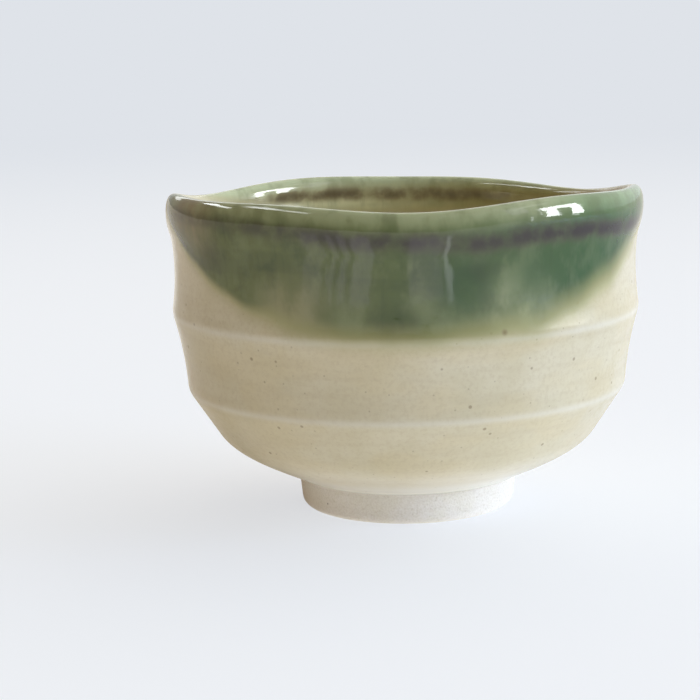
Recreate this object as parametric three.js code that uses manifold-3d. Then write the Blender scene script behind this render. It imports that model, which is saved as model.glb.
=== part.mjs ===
// Matcha bowl: a thrown stoneware bowl on a luted foot ring, glazed cream inside and out, with a green
// glaze over the lip from two slanted dips, a deep one at the front and a shallow one at the back.
// Millimetres, +Z up. The origin is the centre of the foot's flat base, and the bowl's front faces -Y.
// An azimuth is in degrees from the front towards +X. An outline's x is a radius and its y a height.
import * as THREE from "three";
import { mergeVertices } from "three/addons/utils/BufferGeometryUtils.js";
import Module from "manifold-3d";

// Outside of the glazed bowl
const LIP_RADIUS = 59.85;
const LIP_HEIGHT = 74.4; // where the rolled lip is widest
const NECK_RADIUS = 58.2; // the hollow under the lip
const NECK_HEIGHT = 61;
const RIDGE_RADIUS = 58.9; // the upper throwing ridge
const RIDGE_HEIGHT = 52.4;
const BELLY_RADIUS = 55.6; // the lower throwing ridge, at the belly's corner
const BELLY_HEIGHT = 31.4;
const HIP_RADIUS = 48.1; // where the rounded underside turns into the straight cone
const HIP_HEIGHT = 20;

// Lip's crest
const CREST_RADIUS = 57.5;
const CREST_HEIGHT = 79.5; // mean height of the cream glaze; the rim waves about it
const CREST_SEAM = 0.3; // between the outside coat and the inside coat

// Inside of the glazed bowl
const LIP_INNER_RADIUS = 55.1;
const LIP_INNER_HEIGHT = 76.4;
const NECK_INNER_RADIUS = 53.5;
const BELLY_INNER_RADIUS = 49.6;
const FLOOR_RADIUS = 30.3; // where the wall's curve runs out into the floor
const FLOOR_HEIGHT = 15.6;
const POOL_RADIUS = 17.5; // the shallow well where the last of the tea gathers
const POOL_HEIGHT = 12.9;

// Foot ring
const FOOT_HEIGHT = 7.6;
const FOOT_TOP_RADIUS = 27.7;
const FOOT_SIDE_RADIUS = 27.25; // just above the rounded lower edge
const FOOT_FLAT_RADIUS = 25.2;
const FOOT_HOLE_RADIUS = 19.6;
const FOOT_CHAMFER = 0.9;
const FOOT_JOINT = 0.3; // slip joint between the ring and the bowl

// Clay inside the foot ring
const BOSS_RADIUS = 19.2;
const BOSS_HEIGHT = 5.6;
const BOSS_CHAMFER = 0.6;

// Coats, counted outwards from the cream glaze's surface
const CLAY_SURFACE = -0.5;
const CREAM_BACK = -0.4;
const CREAM_FACE = 0;
const GREEN_BACK = 0.1;
const GREEN_FACE = 0.4;
const GREEN_LOWEST = 46; // below the lowest point of either dip

// Rim waves: how many times each goes round, its height, and the azimuth of a peak
const RIM_WAVES = [
  { count: 1, height: 2.5, peak: -3 },
  { count: 2, height: 0.4, peak: 56 },
  { count: 3, height: 1.15, peak: -56 },
  { count: 4, height: 0.17, peak: 12 },
  { count: 6, height: 0.46, peak: -26 },
];
const WAVE_BOTTOM = 52; // the waves fade in from here
const WAVE_TOP = 76; // and are at full height from here up

// The glaze's surface in the bucket at each dip: its height on the bowl's axis, and its slope towards +Y
const FRONT_DIP = { height: 79.5, slope: 0.48 };
const BACK_DIP = { height: 84, slope: -0.27 };
const DIP_BLOCK = 300; // larger than the bowl

const STEPS_ROUND = 48;
const DEGREES_PER_STEP = 22; // how far an outline turns between two points

const wasm = await Module();
wasm.setup();

// From the foot joint up to the crest.
function outsideOutline() {
  return new THREE.Path()
    .moveTo(FOOT_TOP_RADIUS + 0.2, FOOT_HEIGHT + FOOT_JOINT)
    .bezierCurveTo(35.9, 11.8, 44.7, 15, HIP_RADIUS, HIP_HEIGHT)
    .lineTo(BELLY_RADIUS - 1, BELLY_HEIGHT - 1.6)
    .quadraticCurveTo(BELLY_RADIUS, BELLY_HEIGHT, BELLY_RADIUS + 0.2, BELLY_HEIGHT + 2.2)
    .quadraticCurveTo(56.3, 41, RIDGE_RADIUS - 0.2, RIDGE_HEIGHT - 2.8)
    .quadraticCurveTo(RIDGE_RADIUS + 0.2, RIDGE_HEIGHT - 1.5, RIDGE_RADIUS, RIDGE_HEIGHT)
    .quadraticCurveTo(NECK_RADIUS, RIDGE_HEIGHT + 4.6, NECK_RADIUS, NECK_HEIGHT)
    .bezierCurveTo(NECK_RADIUS, 66, 58.6, 68, LIP_RADIUS - 0.8, LIP_HEIGHT - 4.8)
    .quadraticCurveTo(LIP_RADIUS, LIP_HEIGHT - 2.5, LIP_RADIUS, LIP_HEIGHT)
    .lineTo(LIP_RADIUS - 0.1, LIP_HEIGHT + 2.2)
    .quadraticCurveTo(LIP_RADIUS - 0.2, CREST_HEIGHT, CREST_RADIUS + CREST_SEAM / 2, CREST_HEIGHT);
}

// From the crest down to the middle of the floor.
function insideOutline() {
  return new THREE.Path()
    .moveTo(CREST_RADIUS - CREST_SEAM / 2, CREST_HEIGHT)
    .quadraticCurveTo(LIP_INNER_RADIUS + 0.3, CREST_HEIGHT, LIP_INNER_RADIUS, LIP_INNER_HEIGHT)
    .bezierCurveTo(54.6, 71, NECK_INNER_RADIUS, 66, NECK_INNER_RADIUS, 58)
    .bezierCurveTo(NECK_INNER_RADIUS, 48, 53, 38, BELLY_INNER_RADIUS, 30)
    .bezierCurveTo(47.2, 24.6, 40, 19.2, FLOOR_RADIUS, FLOOR_HEIGHT)
    .quadraticCurveTo(24, 13.9, POOL_RADIUS, POOL_HEIGHT + 0.8)
    .quadraticCurveTo(POOL_RADIUS - 2, POOL_HEIGHT, POOL_RADIUS - 5.5, POOL_HEIGHT)
    .lineTo(0, POOL_HEIGHT);
}

// An outline's points, closer together where it turns faster.
function samplePath(path) {
  const points = path.curves.flatMap((curve) => {
    const turn = curve.getTangent(0).angleTo(curve.getTangent(1));
    return curve.getPoints(Math.max(1, Math.ceil(THREE.MathUtils.radToDeg(turn) / DEGREES_PER_STEP)));
  });
  return points.filter((point, i) => i === 0 || point.distanceTo(points[i - 1]) > 1e-6);
}

// The outline moved to its left by a distance, square to its own run, so that its facets stay parallel.
function offset(points, distance) {
  return points.map((point, i) => {
    const before = points[Math.max(i - 1, 0)];
    const after = points[Math.min(i + 1, points.length - 1)];
    const runs = [point.clone().sub(before), after.clone().sub(point)];
    const normals = runs.filter((run) => run.length() > 0).map(leftNormal);
    const middle = normals[0].clone().add(normals.at(-1)).normalize();
    const moved = point.clone().addScaledVector(middle, distance / middle.dot(normals[0]));
    moved.x = point.x === 0 ? 0 : moved.x;
    return moved;
  });
}

function leftNormal(run) {
  return new THREE.Vector2(run.y, -run.x).normalize();
}

// How far the rim waves lift a point.
function rimLift(azimuth, height) {
  const share = THREE.MathUtils.smoothstep(height, WAVE_BOTTOM, WAVE_TOP);
  const lifts = RIM_WAVES.map((wave) => {
    const phase = azimuth - THREE.MathUtils.degToRad(wave.peak);
    return wave.height * Math.cos(wave.count * phase);
  });
  return share * lifts.reduce((sum, lift) => sum + lift, 0);
}

// An outline turned about the bowl's axis, then lifted with the rim. A loop's last point joins its first.
function turn(outline) {
  const geometry = new THREE.LatheGeometry(outline, STEPS_ROUND).rotateX(Math.PI / 2);
  geometry.deleteAttribute("normal");
  geometry.deleteAttribute("uv");
  const place = geometry.getAttribute("position");
  for (let i = 0; i < place.count; i++) {
    const azimuth = Math.atan2(place.getX(i), -place.getY(i));
    place.setZ(i, place.getZ(i) + rimLift(azimuth, place.getZ(i)));
  }
  return mergeVertices(geometry, 1e-3);
}

function toSolid(geometry) {
  const vertProperties = new Float32Array(geometry.getAttribute("position").array);
  const triVerts = new Uint32Array(geometry.index.array);
  return new wasm.Manifold(new wasm.Mesh({ numProp: 3, vertProperties, triVerts }));
}

function toGeometry(solid) {
  const { vertProperties, triVerts } = solid.getMesh();
  const geometry = new THREE.BufferGeometry();
  geometry.setAttribute("position", new THREE.BufferAttribute(vertProperties, 3));
  geometry.setIndex(new THREE.BufferAttribute(triVerts, 1));
  return geometry;
}

// A closed coat on an outline, between two distances from the cream glaze's surface.
function coat(points, back, face) {
  const loop = [...offset(points, face), ...offset(points, back).reverse()];
  return [...loop, loop[0]];
}

// The fired clay: the boss in the foot, the seat for the ring, then the wall out, over the lip and in.
function clayBowl(outside, inside) {
  const seat = FOOT_HEIGHT + FOOT_JOINT;
  const underside = [
    new THREE.Vector2(0, BOSS_HEIGHT),
    new THREE.Vector2(BOSS_RADIUS - BOSS_CHAMFER, BOSS_HEIGHT),
    new THREE.Vector2(BOSS_RADIUS, BOSS_HEIGHT + BOSS_CHAMFER),
    new THREE.Vector2(BOSS_RADIUS, seat),
    new THREE.Vector2(FOOT_TOP_RADIUS - 0.7, seat),
  ];
  return turn([...underside, ...offset([...outside, ...inside], CLAY_SURFACE)]);
}

function footRing() {
  const section = new THREE.Path()
    .moveTo(FOOT_HOLE_RADIUS, FOOT_HEIGHT)
    .lineTo(FOOT_HOLE_RADIUS, FOOT_CHAMFER)
    .lineTo(FOOT_HOLE_RADIUS + FOOT_CHAMFER, 0)
    .lineTo(FOOT_FLAT_RADIUS, 0)
    .quadraticCurveTo(FOOT_SIDE_RADIUS - 0.1, 0, FOOT_SIDE_RADIUS, 2.2)
    .lineTo(FOOT_TOP_RADIUS, FOOT_HEIGHT - 1.4)
    .lineTo(FOOT_TOP_RADIUS, FOOT_HEIGHT)
    .lineTo(FOOT_HOLE_RADIUS, FOOT_HEIGHT);
  return turn(samplePath(section));
}

function creamCoat(points) {
  return turn(coat(points, CREAM_BACK, CREAM_FACE));
}

// What one dip leaves on the lip: the part of a coat round the whole rim that goes under the glaze.
function greenDip(outside, inside, dip) {
  const rim = [...outside, ...inside].filter((point) => point.y > GREEN_LOWEST);
  const ring = toSolid(turn(coat(rim, GREEN_BACK, GREEN_FACE)));
  const bucket = new THREE.BoxGeometry(DIP_BLOCK, DIP_BLOCK, DIP_BLOCK)
    .translate(0, 0, DIP_BLOCK / 2)
    .rotateX(Math.atan(dip.slope))
    .translate(0, 0, dip.height);
  bucket.deleteAttribute("normal");
  bucket.deleteAttribute("uv");
  return toGeometry(ring.intersect(toSolid(mergeVertices(bucket))));
}

function piece(name, geometry, color, roughness) {
  const material = new THREE.MeshStandardMaterial({ color, roughness, metalness: 0 });
  const mesh = new THREE.Mesh(geometry, material);
  mesh.name = name;
  return mesh;
}

function matchaBowl() {
  const outside = samplePath(outsideOutline());
  const inside = samplePath(insideOutline());
  const bowl = new THREE.Group();
  bowl.add(
    piece("clay_bowl", clayBowl(outside, inside), "#d8cdb6", 0.9),
    piece("foot_ring", footRing(), "#dcd5c6", 0.95),
    piece("cream_glaze_outside", creamCoat(outside), "#cfc4a0", 0.2),
    piece("cream_glaze_inside", creamCoat(inside), "#c9bd8f", 0.2),
    piece("green_glaze_front", greenDip(outside, inside, FRONT_DIP), "#55704f", 0.15),
    piece("green_glaze_back", greenDip(outside, inside, BACK_DIP), "#66744c", 0.15),
  );
  return bowl;
}

export default matchaBowl();
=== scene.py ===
import math

import bmesh
import bpy
import numpy as np
from mathutils import Euler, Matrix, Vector

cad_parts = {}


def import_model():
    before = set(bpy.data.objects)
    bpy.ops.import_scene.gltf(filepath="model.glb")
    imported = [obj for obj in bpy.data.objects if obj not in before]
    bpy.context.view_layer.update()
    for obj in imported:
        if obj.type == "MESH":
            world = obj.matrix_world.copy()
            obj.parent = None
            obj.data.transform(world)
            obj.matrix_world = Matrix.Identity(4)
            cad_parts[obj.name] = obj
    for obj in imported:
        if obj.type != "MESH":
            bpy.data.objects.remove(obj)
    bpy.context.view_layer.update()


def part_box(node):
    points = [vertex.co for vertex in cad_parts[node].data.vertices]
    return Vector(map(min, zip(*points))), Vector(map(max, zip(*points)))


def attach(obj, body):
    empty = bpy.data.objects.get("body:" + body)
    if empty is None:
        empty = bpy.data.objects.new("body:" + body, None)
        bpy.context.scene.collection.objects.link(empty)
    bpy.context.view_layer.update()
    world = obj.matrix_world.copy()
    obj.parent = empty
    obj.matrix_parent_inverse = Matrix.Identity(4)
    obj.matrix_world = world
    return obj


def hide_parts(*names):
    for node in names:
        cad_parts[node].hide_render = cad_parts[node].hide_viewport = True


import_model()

# The looks of a matcha bowl: two fired clay pieces under a cream ash glaze and two dips of green glaze.
# Sizes are in millimetres until a mesh is made. The front faces -Y. An azimuth is an angle from the
# front towards +X, in radians unless it is named a turn or degrees. An outline is a list of curves, each
# a list of control points (radius, height).

METRES = 0.001

# Driving sizes, read from the frame.
LIP_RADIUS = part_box("cream_glaze_outside")[1].x / METRES
FOOT_TOP_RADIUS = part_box("foot_ring")[1].x / METRES
FOOT_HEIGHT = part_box("foot_ring")[1].z / METRES
BOSS_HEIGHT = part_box("clay_bowl")[0].z / METRES

# Sizes that the frame's boxes don't show, as in the CAD model.
CREST_HEIGHT = 79.5
CREST_RADIUS = 57.5
LIP_HEIGHT = 74.4
NECK_RADIUS = 58.2
NECK_HEIGHT = 61
RIDGE_RADIUS = 58.95  # the upper throwing ridge, where it is widest
RIDGE_HEIGHT = 50.9
BELLY_RADIUS = 55.6  # the lower throwing ridge
BELLY_HEIGHT = 31.4
POOL_RADIUS = 17.5
POOL_HEIGHT = 12.9
FOOT_HOLE_RADIUS = 19.6
RECESS_RADIUS = 19.4  # of the clay inside the foot ring
JOINT_HEIGHT = FOOT_HEIGHT + 0.3
COAT = 0.4  # thickness of the cream glaze
COAT_GAP = 0.1  # between it and the clay

# Rim waves: how many times each goes round, its height, and the azimuth of a peak in degrees.
RIM_WAVES = [(1, 2.5, -3), (2, 0.4, 56), (3, 1.15, -56), (4, 0.17, 12), (6, 0.46, -26)]
WAVE_BOTTOM = 52  # the waves fade in from here
WAVE_TOP = 76  # and are at full height from here up


def chain(start, *curves):
    """An outline from a first point and the rest of each curve's control points."""
    outline = []
    for curve in curves:
        outline.append([start, *curve])
        start = curve[-1]
    return outline


OUTSIDE = chain(
    (27.9, JOINT_HEIGHT),
    [(35.9, 11.8), (44.7, 15), (48.1, 20)],  # rounded underside
    [(BELLY_RADIUS - 0.7, BELLY_HEIGHT - 1.1)],
    [(BELLY_RADIUS, BELLY_HEIGHT), (BELLY_RADIUS + 0.1, BELLY_HEIGHT + 1.3)],  # lower ridge
    [(56.3, 41), (RIDGE_RADIUS - 0.2, RIDGE_HEIGHT - 1)],
    [(RIDGE_RADIUS, RIDGE_HEIGHT), (RIDGE_RADIUS - 0.03, RIDGE_HEIGHT + 1)],  # upper ridge
    [(NECK_RADIUS, 57), (NECK_RADIUS, NECK_HEIGHT)],
    [(NECK_RADIUS, 66), (58.6, 68), (LIP_RADIUS - 0.8, LIP_HEIGHT - 4.8)],
    [(LIP_RADIUS, LIP_HEIGHT - 2.5), (LIP_RADIUS, LIP_HEIGHT)],
    [(LIP_RADIUS, LIP_HEIGHT + 3.4), (LIP_RADIUS - 0.9, CREST_HEIGHT), (CREST_RADIUS, CREST_HEIGHT)],
)
INSIDE = chain(
    (CREST_RADIUS, CREST_HEIGHT),
    [(56.1, CREST_HEIGHT), (55.3, CREST_HEIGHT - 1), (55.1, 76.4)],
    [(54.6, 71), (53.5, 66), (53.5, 58)],  # wall
    [(53.5, 48), (53, 38), (49.6, 30)],
    [(47.2, 24.6), (40, 19.2), (30.3, 15.6)],  # floor
    [(24, 13.9), (POOL_RADIUS, POOL_HEIGHT + 0.8)],
    [(POOL_RADIUS - 2, POOL_HEIGHT), (POOL_RADIUS - 5.5, POOL_HEIGHT)],
    [(0, POOL_HEIGHT)],
)
FOOT = chain(
    (FOOT_HOLE_RADIUS + 0.3, JOINT_HEIGHT + 0.2),
    [(FOOT_HOLE_RADIUS, 1.6)],
    [(FOOT_HOLE_RADIUS + 0.05, 0.1), (21.2, 0)],
    [(25.0, 0)],  # the flat that it stands on
    [(26.95, 0.05), (27.2, 2.2)],
    [(27.45, 4.6), (FOOT_TOP_RADIUS, FOOT_HEIGHT - 1)],
    [(FOOT_TOP_RADIUS + 0.05, JOINT_HEIGHT + 0.5)],
    [(FOOT_HOLE_RADIUS + 0.3, JOINT_HEIGHT + 0.2)],
)
UNDERSIDE = chain(
    (0, BOSS_HEIGHT),
    [(16.5, BOSS_HEIGHT)],
    [(RECESS_RADIUS - 0.2, BOSS_HEIGHT), (RECESS_RADIUS, BOSS_HEIGHT + 1.6)],
    [(RECESS_RADIUS, JOINT_HEIGHT + 0.3)],
    [(27.2, JOINT_HEIGHT + 0.3)],  # over the foot ring, out to the glaze
)

# The two dips: the glaze's height in the bucket on the bowl's axis, and its slope towards +Y.
FRONT_DIP = (79.5, 0.48)
BACK_DIP = (84, -0.27)
FRONT_SAGS = ((35, 13, 2.3), (60, 20, 2.6), (-46, 14, -0.9))  # degrees, width in degrees, mm lower
FRONT_END_RISE = 5  # how much higher the front dip's edge ends on the left
WAVER = 0.25  # mm that either edge wavers by
GREEN_EDGE = -3.0  # the green coat starts this many mm outside the line of its dip
GREEN_COAT = 0.25  # thickness of the green glaze
GREEN_SINK = 0.03  # how far its thin edge lies under the cream glaze's face
FIELD_REACH = 12  # mm from a dip's edge beyond which the glaze no longer changes


# ---- outlines ----

def bezier(controls, steps):
    """Points along one curve of any degree."""
    share = np.linspace(0, 1, steps)[:, None]
    points = [np.array(c, float) * np.ones_like(share) for c in controls]
    while len(points) > 1:
        points = [a * (1 - share) + b * share for a, b in zip(points, points[1:])]
    return points[0]


class Outline:
    """A line of curves that is measured by its length in mm. Its normals point to its right-hand side."""

    STEP = 0.1

    def __init__(self, curves):
        dense = [bezier(c, 200) for c in curves]
        line = np.vstack([dense[0]] + [d[1:] for d in dense[1:]])
        length = np.concatenate([[0], np.cumsum(np.hypot(*np.diff(line, axis=0).T))])
        self.end = length[-1]
        self.along = np.linspace(0, self.end, int(self.end / self.STEP) + 1)
        self.points = np.column_stack([np.interp(self.along, length, line[:, k]) for k in (0, 1)])
        run = np.gradient(self.points, axis=0)
        run /= np.linalg.norm(run, axis=1)[:, None]
        self.normals = np.column_stack([run[:, 1], -run[:, 0]])

    def at(self, along):
        """Radius, height and the normal's two parts at each distance, in arrays of the same shape."""
        columns = (*self.points.T, *self.normals.T)
        return [np.interp(along, self.along, values) for values in columns]


SKIN = Outline(OUTSIDE + INSIDE)  # the glaze's surface, from the foot over the crest to the pool
CREST = Outline(OUTSIDE).end
RING = Outline(FOOT)
BASE = Outline(UNDERSIDE)


def spread(start, stop, step):
    return np.linspace(start, stop, int(abs(stop - start) / step) + 2)


def join(*parts):
    """One line of distances from several that each start where the last one ends."""
    return np.concatenate([parts[0]] + [p[1:] for p in parts[1:]])[:, None]


# ---- shape ----

def smoothstep(value, low, high):
    share = np.clip((value - low) / (high - low), 0, 1)
    return share * share * (3 - 2 * share)


def bump(value, centre, width):
    return np.exp(-(((value - centre) / width) ** 2))


def rim_lift(azimuth):
    return sum(mm * np.cos(n * (azimuth - math.radians(peak))) for n, mm, peak in RIM_WAVES)


def random_waves(seed, azimuth, along, count, rounds, per_mm):
    """A random field of about -1 to 1 that closes on itself round the bowl."""
    rng = np.random.default_rng(seed)
    field = 0
    for _ in range(count):
        turns = rng.integers(rounds[0], rounds[1] + 1)
        climb = rng.uniform(-per_mm, per_mm)
        field = field + np.cos(turns * azimuth + climb * along + rng.uniform(0, 2 * math.pi))
    return field / math.sqrt(count)


def place(outline, along, azimuth, depth=0.0):
    """A grid of xyz points: the outline moved out by depth, turned, and lifted with the rim."""
    radius, height, out, up = outline.at(along)
    radius = radius + out * depth
    height = height + up * depth
    height = height + rim_lift(azimuth) * smoothstep(height, WAVE_BOTTOM, WAVE_TOP)
    radius, height = np.broadcast_arrays(radius, height)
    return np.stack([radius * np.sin(azimuth), -radius * np.cos(azimuth), height], axis=-1)


HAND_WOBBLE = 0.12
RING_DEPTH = 0.09  # the throwing rings inside
RING_PITCH = 5.5
EDGE_ROLL = 0.15  # the glaze's rounded edge at the foot


def skin_relief(along, azimuth):
    """Throwing rings and the hand's wobble on the glaze, in mm. They fade out at the crest."""
    radius, height, _, _ = SKIN.at(along)
    fade = smoothstep(np.abs(along - CREST), 2, 12)
    outside = HAND_WOBBLE * random_waves(3, azimuth, height, 8, (1, 4), 0.05)
    outside = outside * smoothstep(height, 12, 30) + EDGE_ROLL * bump(along, 0.9, 0.8)
    spiral = 2 * math.pi * (height - 0.35 * radius) / RING_PITCH + azimuth
    inside = RING_DEPTH * np.cos(spiral) * smoothstep(radius, 1, 12)
    wobble = HAND_WOBBLE * random_waves(4, azimuth, height, 8, (1, 4), 0.05)
    inside = inside + wobble * smoothstep(radius, 10, 30)
    return fade * np.where(along < CREST, outside, inside)


# ---- where the glazes are ----

def signed(azimuth):
    """The azimuth within half a turn of the front."""
    return (azimuth + math.pi) % (2 * math.pi) - math.pi


def covered_by(dip, azimuth, xyz):
    """How many mm the points lie inside the edge that one dip left. The edge wavers as it ran."""
    height, slope = dip
    level = height + slope * xyz[..., 1]
    turn = np.degrees(signed(azimuth))
    if slope > 0:
        sag = sum(mm * bump(turn, centre, width) for centre, width, mm in FRONT_SAGS)
        level = level - sag + FRONT_END_RISE * smoothstep(turn, -50, -80)
    waver = WAVER * random_waves(11, azimuth, xyz[..., 2], 12, (5, 30), 0.05)
    return (xyz[..., 2] - level) / math.hypot(1, slope) + waver


def dark_band(turn, below, inner):
    """The dark band below the crest, where the green is thin. To the left it is higher and fainter."""
    centre = 7.3 + 1.3 * smoothstep(turn, 4, 16) + 0.6 * smoothstep(turn, 35, 60)
    centre = centre - 2.3 * smoothstep(turn, -10, -55)
    width = 2.3 - 0.4 * smoothstep(turn, 30, 60)
    strength = 0.85 + 0.15 * smoothstep(turn, 10, 40) - 0.4 * smoothstep(turn, -5, -50)
    return np.where(inner, 0.8 * bump(below, 5.8, 2.0), bump(below, centre, width) * strength)


def glaze_fields(along, azimuth, xyz):
    """What the glaze's material reads from the mesh."""
    turn = np.degrees(signed(azimuth))
    below = np.abs(along - CREST)
    inner = along > CREST
    height = xyz[..., 2]
    cover = np.maximum(covered_by(FRONT_DIP, azimuth, xyz), covered_by(BACK_DIP, azimuth, xyz))
    ridge = bump(height, RIDGE_HEIGHT - 0.1, 0.8) + bump(height, BELLY_HEIGHT + 0.1, 0.8)
    fields = {
        "cover": np.clip(cover, -FIELD_REACH, FIELD_REACH),
        "below": below,
        "inner": smoothstep(along, CREST - 1, CREST + 1),
        "ridge": ridge * ~inner,
        "band": dark_band(turn, below, inner),
        "teal": smoothstep(turn, -45, 55) * smoothstep(np.abs(turn), 170, 90),
    }
    return {key: np.broadcast_to(values, height.shape) for key, values in fields.items()}


# ---- meshes ----

def solid(name, rings, fields, material, turns=True):
    """A closed mesh from a loop of rings. Each ring joins the next, and the last joins the first."""
    rows, columns = rings.shape[:2]
    index = np.arange(rows * columns).reshape(rows, columns)
    across = np.roll(index, -1, axis=0)
    if turns:
        quads = np.stack([index, np.roll(index, -1, 1), np.roll(across, -1, 1), across], -1)
    else:
        quads = np.stack([index[:, :-1], index[:, 1:], across[:, 1:], across[:, :-1]], -1)
    faces = quads.reshape(-1, 4).tolist()
    mesh = bpy.data.meshes.new(name)
    mesh.from_pydata((rings.reshape(-1, 3) * METRES).tolist(), [], faces)
    for key, values in fields.items():
        layer = mesh.attributes.new(key, "FLOAT", "POINT")
        layer.data.foreach_set("value", values.astype(np.float32).ravel())
    clean(mesh)
    mesh.materials.append(material)
    piece = bpy.data.objects.new(name, mesh)
    bpy.context.scene.collection.objects.link(piece)
    return piece


SHARP = math.radians(50)  # edges that turn by more than this stay sharp


def clean(mesh):
    """Welds the points that meet, faces outwards, and keeps true corners sharp."""
    work = bmesh.new()
    work.from_mesh(mesh)
    bmesh.ops.remove_doubles(work, verts=work.verts, dist=1e-6)
    bmesh.ops.dissolve_degenerate(work, edges=work.edges, dist=1e-7)
    bmesh.ops.holes_fill(work, edges=[e for e in work.edges if e.is_boundary], sides=0)
    bmesh.ops.recalc_face_normals(work, faces=work.faces)
    for face in work.faces:
        face.smooth = True
    for edge in work.edges:
        edge.smooth = edge.calc_face_angle(0) < SHARP
    work.to_mesh(mesh)
    work.free()


def loop(front, back):
    """The rings of a shell: out along its front and home along its back."""
    return np.concatenate([front, back[::-1]])


# ---- node graphs ----

def srgb(red, green, blue):
    """A linear colour from the usual 0 to 255 values."""
    def linear(c):
        c /= 255
        return c / 12.92 if c <= 0.04045 else ((c + 0.055) / 1.055) ** 2.4
    return (linear(red), linear(green), linear(blue), 1)


class Graph:
    """The nodes of a material, a light or the world, with a short call for each kind."""

    def __init__(self, owner):
        owner.use_nodes = True
        self.owner = owner
        self.tree = owner.node_tree

    def add(self, kind, inputs=(), **settings):
        node = self.tree.nodes.new("ShaderNode" + kind)
        for key, value in settings.items():
            setattr(node, key, value)
        for key, value in dict(inputs).items():
            self.feed(node.inputs[key], value)
        return node

    def feed(self, socket, value):
        if isinstance(value, bpy.types.NodeSocket):
            self.tree.links.new(value, socket)
        else:
            socket.default_value = value

    def set(self, **inputs):
        """Feeds the material's main shader."""
        shader = self.tree.nodes["Principled BSDF"]
        for key, value in inputs.items():
            self.feed(shader.inputs[key.replace("_", " ")], value)

    def finish(self, output, shader):
        self.feed(self.tree.nodes[output].inputs["Surface"], shader)

    def field(self, name):
        """A number that the mesh carries."""
        return self.add("Attribute", attribute_name=name).outputs["Fac"]

    def in_mm(self, spot):
        return self.add("VectorMath", {0: spot, "Scale": 1 / METRES}, operation="SCALE").outputs["Vector"]

    def place_mm(self):
        return self.in_mm(self.add("TexCoord").outputs["Object"])

    def stretch(self, vector, scale):
        return self.add("VectorMath", {0: vector, 1: scale}, operation="MULTIPLY").outputs["Vector"]

    def noise(self, vector, size, detail=3, roughness=0.5):
        inputs = {"Vector": vector, "Scale": 1 / size, "Detail": detail, "Roughness": roughness}
        return self.add("TexNoise", inputs).outputs["Fac"]

    def math(self, operation, a, b=0.0, c=0.0):
        return self.add("Math", {0: a, 1: b, 2: c}, operation=operation).outputs["Value"]

    def smooth(self, value, low, high, start=0.0, end=1.0):
        """From start to end as the value goes from low to high."""
        inputs = {"Value": value, "From Min": low, "From Max": high, "To Min": start, "To Max": end}
        return self.add("MapRange", inputs, interpolation_type="SMOOTHSTEP").outputs["Result"]

    def mix(self, share, a, b):
        """Colour a with a share of colour b over it."""
        node = self.add("Mix", data_type="RGBA")
        for key, value in ((0, share), (6, a), (7, b)):
            self.feed(node.inputs[key], value)
        return node.outputs[2]

    def bump(self, height, depth, under=None):
        inputs = {"Height": height, "Distance": depth * METRES, "Strength": 1.0}
        if under is not None:
            inputs["Normal"] = under
        return self.add("Bump", inputs).outputs["Normal"]

    def specks(self, vector, cell, size):
        """Spots up to size in radius, one at the most near each point of a random grid."""
        node = self.add("TexVoronoi", {"Vector": vector, "Scale": 1 / cell, "Randomness": 1.0})
        near = self.math("MULTIPLY", node.outputs["Distance"], cell)
        return self.smooth(near, size * 0.55, size, 1.0, 0.0)

    def around(self, vector, degrees, height, size):
        """1 near one place on the outside and 0 beyond size mm from it."""
        azimuth = math.radians(degrees)
        centre = (RIDGE_RADIUS * math.sin(azimuth), -RIDGE_RADIUS * math.cos(azimuth), height)
        away = self.add("VectorMath", {0: vector, 1: centre}, operation="DISTANCE").outputs["Value"]
        return self.smooth(away, 0.0, size, 1.0, 0.0)


# ---- colours and patterns ----

CREAM_WARM = srgb(213, 204, 172)
CREAM_PALE = srgb(220, 212, 184)
# Painted light: the INSIDE colours are paler than the glaze is, to lift the shade inside the bowl; in the
# green, thinner glaze inside is part of it.
CREAM_INSIDE = srgb(228, 220, 186)
CREAM_GRAIN = srgb(194, 179, 144)
CREAM_BLUSH = srgb(218, 204, 164)
# Paler cream for thin glaze, for the painted highlight on the ridges and for the painted reflection above
# the foot.
CREAM_THIN_AND_PAINTED_LIGHT = srgb(236, 233, 220)
IRON = srgb(120, 96, 66)
GREEN_LEFT = srgb(104, 112, 64)
GREEN_RIGHT = srgb(56, 88, 47)
GREEN_MILKY = srgb(149, 157, 115)
GREEN_DARK = srgb(50, 66, 38)
GREEN_INSIDE = srgb(222, 218, 168)
TEAL = srgb(42, 82, 38)
TAN = srgb(166, 160, 118)
# Painted light in part: the lip is paler where light falls from above, LIP_LEFT most of all.
LIP_LEFT = srgb(178, 184, 141)
LIP_RIGHT = srgb(138, 158, 112)
LIP_INSIDE = srgb(200, 208, 166)
LIP_TAN = srgb(164, 148, 112)
HALO = srgb(84, 82, 60)
HALO_INSIDE = srgb(140, 122, 86)
BAND = srgb(54, 46, 46)
BAND_INSIDE = srgb(88, 72, 56)
WASH = srgb(172, 168, 114)
CLAY = srgb(246, 241, 227)
CLAY_PALE = srgb(248, 243, 233)
CLAY_SAND = srgb(212, 202, 182)
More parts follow.
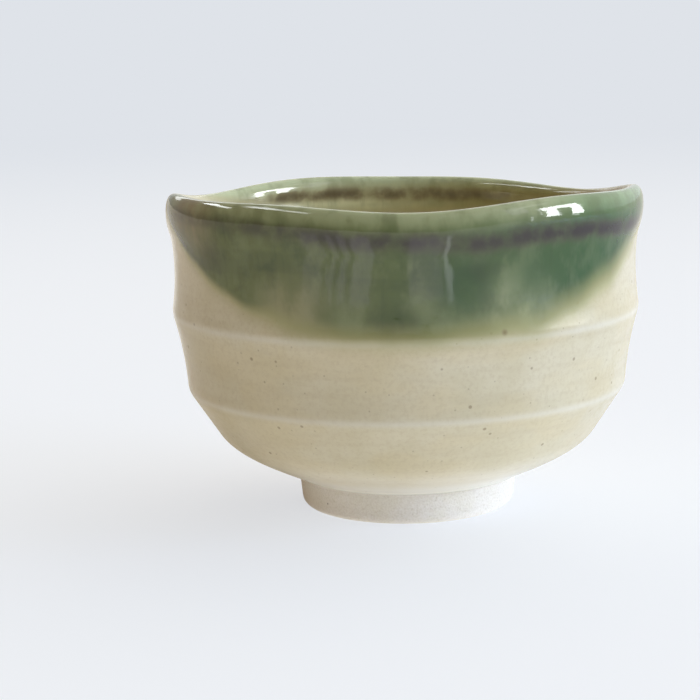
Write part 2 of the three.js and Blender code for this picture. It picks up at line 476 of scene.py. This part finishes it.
# Where the green is thicker, thinner or milkier: azimuth in degrees, height, size, share, colour.
PATCHES = (
    (26, 57, 15, 1.0, GREEN_MILKY),
    (-27, 56, 14, 0.75, TAN),
    (-12, 58, 10, 0.4, GREEN_MILKY),
    (7, 58, 12, 0.35, GREEN_MILKY),
    (13, 64, 11, 0.85, TEAL),
    (30, 65, 9, 0.6, TEAL),
    (50, 66, 17, 0.4, TEAL),
    (8, 66, 9, 0.4, GREEN_DARK),
    (-14, 65, 8, 0.3, GREEN_DARK),
    (-2, 54, 9, 0.7, GREEN_DARK),
    (17, 66.5, 6, 0.6, GREEN_DARK),
    (-60, 78, 17, 0.9, LIP_TAN),
    (-64, 67, 12, 1.0, GREEN_DARK),
    (-50, 70, 8, 0.4, HALO),
)
# Single iron spots: azimuth in degrees, height, size.
IRON_SPOTS = (
    (22.6, 52.5, 1.1),
    (48, 58.5, 0.7),
)

# Sizes of the glaze's patterns.
CLOUD = 16
GRAIN = 1.1
RINGS = 2.4
BLUSH = 12
DRIFT = 6
RUNS = 1.7
POOLS = 11
STRATA = 5
SMUDGES = 6
SWELL = 9
PEEL = 2.2
FINE_SPECKS = (3.1, 0.3)  # one in each cell of this size, and how large it is
SPECKS = (6.0, 0.55)

# The glaze's surface
SWELL_DEPTH = 0.12
PEEL_DEPTH = 0.025
CREAM_ROUGHNESS = 0.26
GREEN_ROUGHNESS = 0.05
GLASS_IOR = 1.5

# The clay's grain
SAND = 0.5
CLAY_CLOUD = 8
GRIT = (1.1, 0.3)
CLAY_SPECKS = (5.5, 0.32)
GRIT_DEPTH = 0.18
CLAY_ROUGHNESS = 0.85


# ---- materials ----

def cream_colour(g, spot, inner, ridge):
    """Cream ash glaze, grainy, with iron specks. It is paler on the ridges and above the foot: thin glaze
    there, with a painted highlight along the ridges and a painted reflection of the floor above the foot.
    """
    cloud = g.noise(spot, CLOUD)
    blush = g.noise(g.stretch(spot, (0.5, 0.5, 1)), BLUSH)
    grain = g.noise(spot, GRAIN, 4, 0.7)
    rings = g.noise(g.stretch(spot, (0.12, 0.12, 1)), RINGS, 3, 0.6)
    cream = g.mix(g.smooth(cloud, 0.35, 0.65), CREAM_WARM, CREAM_PALE)
    # Painted light: inside, the cream is paler to lift the shade in the bowl.
    cream = g.mix(inner, cream, g.mix(g.smooth(cloud, 0.3, 0.7), CREAM_INSIDE, CREAM_WARM))
    cream = g.mix(g.smooth(blush, 0.42, 0.62, 0.0, 0.4), cream, CREAM_BLUSH)
    cream = g.mix(g.smooth(grain, 0.42, 0.72, 0.0, 0.35), cream, CREAM_GRAIN)
    cream = g.mix(g.smooth(rings, 0.4, 0.7, 0.0, 0.2), cream, CREAM_GRAIN)
    height = g.add("SeparateXYZ", {0: spot}).outputs["Z"]
    # Above the foot: the narrow step is the thin glaze edge, and the wider fade is a painted reflection of
    # the bright floor.
    thin_edge_and_painted_reflection = g.math("ADD", g.smooth(height, 10, 13.5, 0.5, 0.0), g.smooth(height, 8, 20, 0.45, 0.0))
    thin_edge_and_painted_reflection = g.math("MULTIPLY", thin_edge_and_painted_reflection, g.math("SUBTRACT", 1.0, inner))
    # The ridges' pale line is thin glaze and a painted highlight.
    thin = g.math("MULTIPLY_ADD", ridge, 0.45, thin_edge_and_painted_reflection)
    cream = g.mix(thin, cream, CREAM_THIN_AND_PAINTED_LIGHT)
    cream = g.mix(g.math("MULTIPLY", g.specks(spot, *FINE_SPECKS), 0.3), cream, IRON)
    return g.mix(g.math("MULTIPLY", g.specks(spot, *SPECKS), 0.5), cream, IRON)


def green_colour(g, spot, inner, teal, drift):
    """Thick green copper glaze, from olive at the left to teal at the right, milky and streaked."""
    runs = g.noise(g.stretch(spot, (1, 1, 0.1)), RUNS, 3, 0.6)
    strata = g.noise(g.stretch(spot, (0.15, 0.15, 1)), STRATA, 2)
    pools = g.smooth(g.noise(spot, POOLS, 4, 0.6), 0.48, 0.68)
    green = g.mix(teal, GREEN_LEFT, GREEN_RIGHT)
    # Inside, the green is paler: partly thinner glaze, partly painted light against the shade in the bowl.
    green = g.mix(inner, green, GREEN_INSIDE)
    green = g.mix(g.smooth(drift, 0.42, 0.68, 0.0, 0.25), green, GREEN_MILKY)
    green = g.mix(g.smooth(runs, 0.5, 0.8, 0.0, 0.25), green, GREEN_DARK)
    green = g.mix(g.math("MULTIPLY", pools, g.smooth(inner, 0.0, 1.0, 0.4, 0.1)), green, GREEN_DARK)
    return g.mix(g.smooth(strata, 0.45, 0.65, 0.0, 0.22), green, GREEN_DARK)


def with_lip(g, green, below, inner, teal, drift):
    """The green with a paler colour on the rolled lip: partly the glaze's own tone, partly painted light
    from above, paler on the left where more of that light falls.
    """
    # Paler towards the crest: partly painted light from above.
    lip = g.smooth(g.math("MULTIPLY_ADD", drift, 4.0, below), 2.5, 9.5, 1.0, 0.0)
    outer_tone = g.mix(g.smooth(teal, 0.85, 1.0), LIP_LEFT, LIP_RIGHT)
    # Inside, the lip is paler too, as painted light.
    tone = g.mix(inner, outer_tone, LIP_INSIDE)
    tone = g.mix(g.smooth(drift, 0.44, 0.64, 0.0, 0.4), tone, GREEN_LEFT)
    return g.mix(lip, green, tone)


def with_patches(g, green, spot, drift):
    cloudy = g.smooth(drift, 0.3, 0.6, 0.5, 1.0)
    for degrees, height, size, share, tone in PATCHES:
        patch = g.math("MULTIPLY", g.around(spot, degrees, height, size), share)
        green = g.mix(g.math("MULTIPLY", patch, cloudy), green, tone)
    return green


def with_band(g, green, spot, inner, band):
    """The green with the dark band where it runs thin below the lip."""
    smudge = g.noise(spot, SMUDGES, 3, 0.55)
    stain = g.math("MULTIPLY", band, g.smooth(smudge, 0.3, 0.62, 0.45, 1.0))
    # Inside, the halo and band are paler, partly as painted light.
    green = g.mix(g.smooth(stain, 0.0, 0.6, 0.0, 0.6), green, g.mix(inner, HALO, HALO_INSIDE))
    return g.mix(g.smooth(stain, 0.1, 1.1, 0.0, 0.95), green, g.mix(inner, BAND, BAND_INSIDE))


def green_over_cream(g, cream, green, cover, teal, drift):
    """One colour from both. Thin green washes out over the cream, and more softly to the right."""
    soft = g.math("ADD", cover, g.math("MULTIPLY_ADD", drift, 1.0, -0.5))
    colour = g.mix(g.smooth(soft, -4.5, 2.0), cream, WASH)
    reach = g.math("MULTIPLY_ADD", teal, 3.0, g.smooth(teal, 0.0, 0.06, 1.4, 3.6))
    return g.mix(g.smooth(soft, -1.6, reach), colour, green)


def glaze(name):
    """Cream ash glaze that passes into green copper glaze by the fields that the mesh carries."""
    g = Graph(bpy.data.materials.new(name))
    spot = g.place_mm()
    cover = g.field("cover")
    inner = g.field("inner")
    teal = g.field("teal")
    drift = g.noise(g.stretch(spot, (1, 1, 0.6)), DRIFT, 3, 0.55)

    cream = cream_colour(g, spot, inner, g.field("ridge"))
    green = green_colour(g, spot, inner, teal, drift)
    green = with_lip(g, green, g.field("below"), inner, teal, drift)
    green = with_patches(g, green, spot, drift)
    green = with_band(g, green, spot, inner, g.field("band"))
    colour = green_over_cream(g, cream, green, cover, teal, drift)
    for degrees, height, size in IRON_SPOTS:
        colour = g.mix(g.math("MULTIPLY", g.around(spot, degrees, height, size), 0.6), colour, IRON)

    swell = g.bump(g.noise(spot, SWELL, 2), SWELL_DEPTH)
    peel = g.math("MULTIPLY", g.noise(spot, PEEL, 3, 0.6), g.smooth(cover, -1, 3, 1.0, 0.5))
    fine = g.bump(peel, PEEL_DEPTH, swell)
    gloss = g.smooth(cover, -1, 3, CREAM_ROUGHNESS, GREEN_ROUGHNESS)
    g.set(Base_Color=colour, Roughness=gloss, IOR=GLASS_IOR, Normal=fine)
    return g.owner


def bare_clay(name):
    """Unglazed fired stoneware: pale, matte and sandy."""
    g = Graph(bpy.data.materials.new(name))
    spot = g.place_mm()
    sand = g.noise(spot, SAND, 3, 0.7)
    cloud = g.noise(spot, CLAY_CLOUD)
    grit = g.specks(spot, *GRIT)
    colour = g.mix(g.smooth(cloud, 0.35, 0.65), CLAY, CLAY_PALE)
    colour = g.mix(g.smooth(sand, 0.4, 0.65, 0.0, 0.28), colour, CLAY_SAND)
    colour = g.mix(g.math("MULTIPLY", grit, 0.22), colour, CLAY_SAND)
    colour = g.mix(g.math("MULTIPLY", g.specks(spot, *CLAY_SPECKS), 0.6), colour, IRON)
    rough = g.bump(g.math("MULTIPLY_ADD", grit, 0.35, sand), GRIT_DEPTH)
    g.set(Base_Color=colour, Roughness=CLAY_ROUGHNESS, Normal=rough)
    return g.owner


# ---- pieces ----

COLUMNS = 360
AROUND = np.linspace(0, 2 * math.pi, COLUMNS, endpoint=False)
OUTSIDE_STEP = 0.5  # between the rings of each mesh
INSIDE_STEP = 0.65
LIP_STEP = 0.16
LIP_SPAN = 2  # to either side of the crest
FOOT_STEP = 0.35
BASE_STEP = 0.4
HIDDEN_STEP = 2
FOOT_MARK = 0.04  # depth and pitch of the turning marks on the foot ring
FOOT_MARK_PITCH = 1.1
BASE_MARK = 0.12  # and of those inside it
BASE_MARK_PITCH = 2.6
NUB_DEPTH = 0.9  # the nub left in the middle of them
NUB_RADIUS = 4
GREEN_FADE = (-2.5, 5)  # the green coat thickens between these distances inside its dip's edge
EDGE_STEP = 0.2  # between the places where the green's edge is looked for
DIP_SPREAD = 0.8 * math.pi  # a dip covers less than this to either side of its middle


def thinned(rows, every):
    """The numbers of some of the rows, the first and the last among them."""
    return np.unique(np.append(np.arange(0, rows, every), rows - 1))


def cream_coat(name, along, material):
    """A coat of cream glaze over part of the skin, as a closed shell."""
    depth = skin_relief(along, AROUND)
    front = place(SKIN, along, AROUND, depth)
    few = thinned(len(along), 3)
    back = place(SKIN, along[few], AROUND, depth[few] - COAT)
    fields = {key: loop(value, value[few]) for key, value in glaze_fields(along, AROUND, front).items()}
    return solid(name, loop(front, back), fields, material)


def edges_of(dip, azimuth):
    """The azimuths that one dip's coat covers, and where it starts and ends there along the skin."""
    along = spread(0, SKIN.end, EDGE_STEP)[:, None]
    cover = covered_by(dip, azimuth, place(SKIN, along, azimuth)) - GREEN_EDGE
    column = np.flatnonzero((cover > 0).any(axis=0))
    wet = cover[:, column] > 0
    first = wet.argmax(axis=0)
    last = len(along) - 1 - wet[::-1].argmax(axis=0)
    step = along[1, 0]
    rise = cover[first, column] - cover[first - 1, column]
    fall = cover[last, column] - cover[last + 1, column]
    start = along[first, 0] - step * cover[first, column] / rise
    end = along[last, 0] + step * cover[last, column] / fall
    return azimuth[column], start, end


def green_coat(name, material, dip, middle, columns, rows):
    """The glaze of one dip: a thin coat over the lip that fades to nothing at its edges."""
    reach = edges_of(dip, middle + np.linspace(-DIP_SPREAD, DIP_SPREAD, 1600))[0]
    azimuth, start, end = edges_of(dip, np.linspace(reach[0], reach[-1], columns))
    top = np.clip(CREST, start, end)
    share = np.linspace(0, 1, rows)[:, None]
    along = np.concatenate([start + (top - start) * share, (top + (end - top) * share)[1:]])
    relief = skin_relief(along, azimuth)
    cover = covered_by(dip, azimuth, place(SKIN, along, azimuth, relief))
    thick = GREEN_COAT * smoothstep(cover, *GREEN_FADE)
    front = place(SKIN, along, azimuth, relief - GREEN_SINK + thick)
    few = thinned(len(along), 4)
    back = place(SKIN, along[few], azimuth, relief[few] - 2 * GREEN_SINK)
    fields = {key: loop(value, value[few]) for key, value in glaze_fields(along, azimuth, front).items()}
    return solid(name, loop(front, back), fields, material, turns=False)


def foot_piece(material):
    """The bare foot ring, with the marks of its turning."""
    along = spread(0, RING.end, FOOT_STEP)[:-1, None]
    height = RING.at(along)[1]
    marks = FOOT_MARK * np.cos(2 * math.pi * height / FOOT_MARK_PITCH + AROUND)
    wobble = HAND_WOBBLE * random_waves(5, AROUND, height, 8, (1, 6), 0.3)
    depth = (marks + wobble) * smoothstep(height, 0.3, 2)
    return solid("bare_foot_ring", place(RING, along, AROUND, depth), {}, material)


def clay_piece(material):
    """The clay body: bare inside the foot ring, where it keeps its turning marks, and glazed elsewhere."""
    along = spread(0, BASE.end, BASE_STEP)[:, None]
    radius, height = BASE.at(along)[:2]
    turning = BASE_MARK * np.cos(2 * math.pi * radius / BASE_MARK_PITCH - AROUND) * smoothstep(radius, 2, 5)
    nub = NUB_DEPTH * bump(radius, 0, NUB_RADIUS)
    under = place(BASE, along, AROUND, (turning + nub) * (height < BOSS_HEIGHT + 0.1))
    shell = place(SKIN, spread(0, SKIN.end, HIDDEN_STEP)[:, None], AROUND, -COAT - COAT_GAP)
    return solid("fired_clay_body", np.concatenate([under, shell]), {}, material)


clay = bare_clay("bare_stoneware")
ash_glaze = glaze("cream_ash_glaze")
copper_glaze = glaze("green_copper_glaze")

outer_lip = CREST - LIP_SPAN
inner_lip = CREST + LIP_SPAN
outside_along = join(spread(0, outer_lip, OUTSIDE_STEP), spread(outer_lip, CREST, LIP_STEP))
inside_along = join(spread(CREST, inner_lip, LIP_STEP), spread(inner_lip, SKIN.end, INSIDE_STEP))
outside = cream_coat("cream_glaze_coat_outside", outside_along, ash_glaze)
inside = cream_coat("cream_glaze_coat_inside", inside_along, ash_glaze)
green_front = green_coat("green_glaze_coat_front", copper_glaze, FRONT_DIP, 0.0, columns=300, rows=100)
green_back = green_coat("green_glaze_coat_back", copper_glaze, BACK_DIP, math.pi, columns=220, rows=60)
foot = foot_piece(clay)
body = clay_piece(clay)

for piece, node, slot in (
    (outside, "cream_glaze_outside", "cream_glaze"),
    (inside, "cream_glaze_inside", "cream_glaze"),
    (green_front, "green_glaze_front", "green_glaze"),
    (green_back, "green_glaze_back", "green_glaze"),
    (foot, "foot_ring", "stoneware"),
    (body, "clay_bowl", "stoneware"),
):
    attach(piece, "root")
    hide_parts(node)


# ---- studio ----

def heading(degrees, climb):
    """The direction at an azimuth and a climb above the horizon, both in degrees."""
    azimuth = math.radians(degrees)
    climb = math.radians(climb)
    return (math.sin(azimuth) * math.cos(climb), -math.cos(azimuth) * math.cos(climb), math.sin(climb))


NECK = Vector((0, 0, 0.065))  # the middle of the bowl's neck, in metres
SKY_SHINE = 0.6  # how bright the sky's soft light is in reflections
BACKGROUND = srgb(223, 227, 233)
FLOOR_PAINT = srgb(214, 216, 220)
FLOOR_SHADE = 0.5  # how much of the room's light the floor shows
FLOOR_SHOWN = 0.8  # the rest of its brightness, beside the background
FLOOR_NEAR = 250  # from here the floor fades
FLOOR_FAR = 1300  # into the background
FLOOR_RADIUS = 12  # metres

# Soft light from the room: direction, the cosines where it starts and is full, colour, strength.
SKY = [
    (heading(0, 90), 0.55, 1.0, (1, 0.97, 0.86), 0.55),
    (heading(90, 15), 0.3, 1.0, (0.82, 0.97, 1.08), 0.89),
    (heading(135, 15), 0.3, 1.0, (1, 0.95, 0.84), 1.15),
    (heading(180, 15), 0.3, 1.0, (1, 0.78, 0.54), 0.62),
    (heading(-90, 10), 0.3, 1.0, (1, 0.5, 0.1), 0.24),
]
# The floor's own light, which only the bowl sees: direction, cosines, colour, strength.
GLOW = [
    (heading(0, 0), -0.2, 0.9, (1, 0.98, 0.97), 0.44),
    (heading(90, 0), -0.2, 0.9, (0.5, 0.6, 0.8), 0.29),
    (heading(180, 0), -0.2, 0.9, (1, 0.85, 0.68), 0.2),
]
# Windows, one metre from the bowl's neck: azimuth, climb, width and height, brightness, colour.
DAYLIGHT = (0.56, 0.67, 1)
WINDOWS = [
    ("window_top", 78, 18, (0.42, 0.13), 12, DAYLIGHT),
    ("window_near_leg", 70.5, 9, (0.13, 0.2), 12, DAYLIGHT),
    ("window_far_leg", 86, 9, (0.12, 0.2), 12, DAYLIGHT),
]
# The same for windows, curtains and ceilings that show only as reflections.
COOL = (0.93, 0.97, 1)
HAZE = (0.86, 0.78, 1)
CARDS = [
    ("card_window_top", 78, 18.5, (0.42, 0.14), 20, COOL),
    ("card_window_near_leg", 70.5, 8, (0.13, 0.24), 20, COOL),
    ("card_window_far_leg", 86, 8, (0.12, 0.24), 20, COOL),
    ("card_window_side", 64, 14, (0.03, 0.3), 4, COOL),
    ("card_window_sill", 84, 0.5, (0.09, 0.07), 5, COOL),
    ("card_window_gap", 60, 1, (0.025, 0.14), 5, COOL),
    ("card_curtain", 54, 30, (0.16, 0.5), 1.3, HAZE),
    ("card_upper_curtain", 68, 41, (0.3, 0.07), 3, COOL),
    ("card_back_rail", 190, 17, (0.9, 0.1), 1.8, COOL),
    ("card_left_ceiling", -122, 35, (0.6, 0.09), 9, COOL),
    ("card_left_high", -105, 52, (0.5, 0.16), 5, COOL),
    ("card_left_front", -80, 50, (0.7, 0.12), 7, COOL),
]
# Bands of a sheet of light that lies on the floor and shows only as reflections: the first and the last
# azimuth, the softness of both, colour, brightness.
SHEEN = [
    (-170, -153, 8, COOL, 1.3),
    (-49, -40, 1, HAZE, 0.5),
    (-36.5, -34, 1, HAZE, 0.55),
    (-31, -28, 1, HAZE, 0.65),
    (-25, -16, 1, HAZE, 0.8),
    (2, 18, 1, HAZE, 0.6),
    (19.5, 22.5, 1, COOL, 2.0),
]
SHEEN_SIZE = 2  # metres
SHEEN_LIFT = 0.001  # metres above the floor
SHEEN_START = 30  # how far in front of the axis the bands fan out from
SHEEN_INNER = (90, 150)  # the bands come up between these distances from the axis
SHEEN_OUTER = (250, 900)  # and die away between these

# The camera, in metres and degrees
CAMERA_TARGET = Vector((0, 0, 0.04))
CAMERA_DISTANCE = 0.5292
CAMERA_CLIMB = 10.15
CAMERA_PITCH = 0.111
CAMERA_YAW = 1.543
CAMERA_ROLL = 0.93
LENS = 106.58
SENSOR = 36


def lobes(g, direction, parts):
    """A colour that is the sum of soft lobes, each round its own direction."""
    total = (0, 0, 0)
    for towards, low, high, tint, strength in parts:
        towards = Vector(towards).normalized()
        near = g.add("VectorMath", {0: direction, 1: towards}, operation="DOT_PRODUCT").outputs["Value"]
        colour = {0: [c * strength for c in tint], "Scale": g.smooth(near, low, high)}
        colour = g.add("VectorMath", colour, operation="SCALE").outputs["Vector"]
        total = g.add("VectorMath", {0: total, 1: colour}).outputs["Vector"]
    return total


def seen_or_lit(g, seen, lit):
    """A shader that shows one thing to the camera and gives another's light to the room."""
    path = g.add("LightPath").outputs["Is Camera Ray"]
    return g.add("MixShader", {0: path, 1: lit, 2: seen}).outputs[0]


def floor_paint():
    g = Graph(bpy.data.materials.new("pale_floor"))
    spot = g.place_mm()
    away = g.add("VectorMath", {0: spot}, operation="LENGTH").outputs["Value"]
    towards = g.add("VectorMath", {0: spot}, operation="NORMALIZE").outputs["Vector"]
    shown = g.add("Emission", {"Color": BACKGROUND, "Strength": FLOOR_SHOWN}).outputs[0]
    bright = g.add("Emission", {"Color": BACKGROUND, "Strength": 1.0}).outputs[0]
    shade = g.add("BsdfDiffuse", {"Color": [c * FLOOR_SHADE for c in FLOOR_PAINT[:3]] + [1]}).outputs[0]
    near = g.add("AddShader", {0: shade, 1: shown}).outputs[0]
    seen = g.add("MixShader", {0: g.smooth(away, FLOOR_NEAR, FLOOR_FAR), 1: near, 2: bright}).outputs[0]
    paint = g.add("BsdfDiffuse", {"Color": FLOOR_PAINT}).outputs[0]
    glow = g.add("Emission", {"Color": lobes(g, towards, GLOW), "Strength": 1.0}).outputs[0]
    lit = g.add("AddShader", {0: paint, 1: glow}).outputs[0]
    g.tree.nodes.remove(g.tree.nodes["Principled BSDF"])
    g.finish("Material Output", seen_or_lit(g, seen, lit))
    return g.owner


def floor():
    mesh = bpy.data.meshes.new("floor")
    work = bmesh.new()
    bmesh.ops.create_circle(work, cap_ends=True, segments=96, radius=FLOOR_RADIUS)
    work.to_mesh(mesh)
    work.free()
    mesh.materials.append(floor_paint())
    ground = bpy.data.objects.new("floor", mesh)
    bpy.context.scene.collection.objects.link(ground)


def world():
    """Soft light from the room, nearly neutral in reflections. The camera sees a plain background."""
    sky = bpy.data.worlds.new("studio")
    bpy.context.scene.world = sky
    g = Graph(sky)
    towards = g.add("TexCoord").outputs["Generated"]
    pale = [(*lobe[:3], COOL, SKY_SHINE * lobe[4]) for lobe in SKY]
    glossy = g.add("LightPath").outputs["Is Glossy Ray"]
    colour = g.mix(glossy, lobes(g, towards, SKY), lobes(g, towards, pale))
    lit = g.add("Background", {"Color": colour}).outputs[0]
    seen = g.add("Background", {"Color": BACKGROUND}).outputs[0]
    g.finish("World Output", seen_or_lit(g, seen, lit))


def panel(name, spot, size, brightness, colour):
    """A rectangle of even brightness, turned to the bowl and unseen by the camera."""
    light = bpy.data.lights.new(name, "AREA")
    light.shape = "RECTANGLE"
    light.size, light.size_y = size
    light.energy = brightness * math.pi * size[0] * size[1]
    light.color = colour
    lamp = bpy.data.objects.new(name, light)
    lamp.location = spot
    lamp.rotation_mode = "QUATERNION"
    lamp.rotation_quaternion = (NECK - Vector(spot)).to_track_quat("-Z", "Y")
    lamp.visible_camera = False
    bpy.context.scene.collection.objects.link(lamp)
    return lamp


def at_one_metre(degrees, climb):
    return Vector(heading(degrees, climb)) + NECK


def windows():
    """Lights that don't show as reflections."""
    for name, degrees, climb, size, brightness, colour in WINDOWS:
        panel(name, at_one_metre(degrees, climb), size, brightness, colour).visible_glossy = False


def cards():
    """Lights that show only as reflections."""
    for name, degrees, climb, size, brightness, colour in CARDS:
        panel(name, at_one_metre(degrees, climb), size, brightness, colour).visible_diffuse = False


def sheen():
    """The bands of SHEEN, which fan out from a point inside the front of the bowl."""
    lamp = panel("floor_sheen", (0, 0, SHEEN_LIFT), (SHEEN_SIZE, SHEEN_SIZE), 1.0, (1, 1, 1))
    lamp.visible_diffuse = False
    g = Graph(lamp.data)
    spot = g.in_mm(g.add("NewGeometry").outputs["Position"])
    parts = g.add("SeparateXYZ", {0: spot}).outputs
    ahead = g.math("MULTIPLY_ADD", parts["Y"], -1.0, -SHEEN_START)
    turn = g.math("DEGREES", g.math("ARCTAN2", parts["X"], ahead))
    away = g.add("VectorMath", {0: spot}, operation="LENGTH").outputs["Value"]
    shown = g.math("MULTIPLY", g.smooth(away, *SHEEN_INNER), g.smooth(away, *SHEEN_OUTER, 1.0, 0.0))
    colour = (0, 0, 0, 1)
    for first, last, soft, tint, brightness in SHEEN:
        start = g.smooth(turn, first - soft, first + soft)
        stop = g.smooth(turn, last - soft, last + soft, 1.0, 0.0)
        colour = g.mix(g.math("MULTIPLY", start, stop), colour, [c * brightness for c in tint] + [1])
    g.feed(g.tree.nodes["Emission"].inputs["Color"], colour)
    g.feed(g.tree.nodes["Emission"].inputs["Strength"], shown)


def camera():
    lens = bpy.data.cameras.new("camera")
    lens.lens = LENS
    lens.sensor_width = SENSOR
    eye = bpy.data.objects.new("camera", lens)
    climb = math.radians(CAMERA_CLIMB)
    back = Vector((0, -math.cos(climb), math.sin(climb)))
    eye.location = CAMERA_TARGET + CAMERA_DISTANCE * back
    look = (-back).to_track_quat("-Z", "Y").to_matrix()
    turns = [math.radians(a) for a in (-CAMERA_PITCH, CAMERA_YAW, -CAMERA_ROLL)]
    eye.rotation_mode = "QUATERNION"
    eye.rotation_quaternion = (look @ Euler(turns, "XYZ").to_matrix()).to_quaternion()
    bpy.context.scene.collection.objects.link(eye)
    bpy.context.scene.camera = eye


floor()
world()
camera()
windows()
cards()
sheen()
bpy.context.scene.view_settings.view_transform = "Standard"
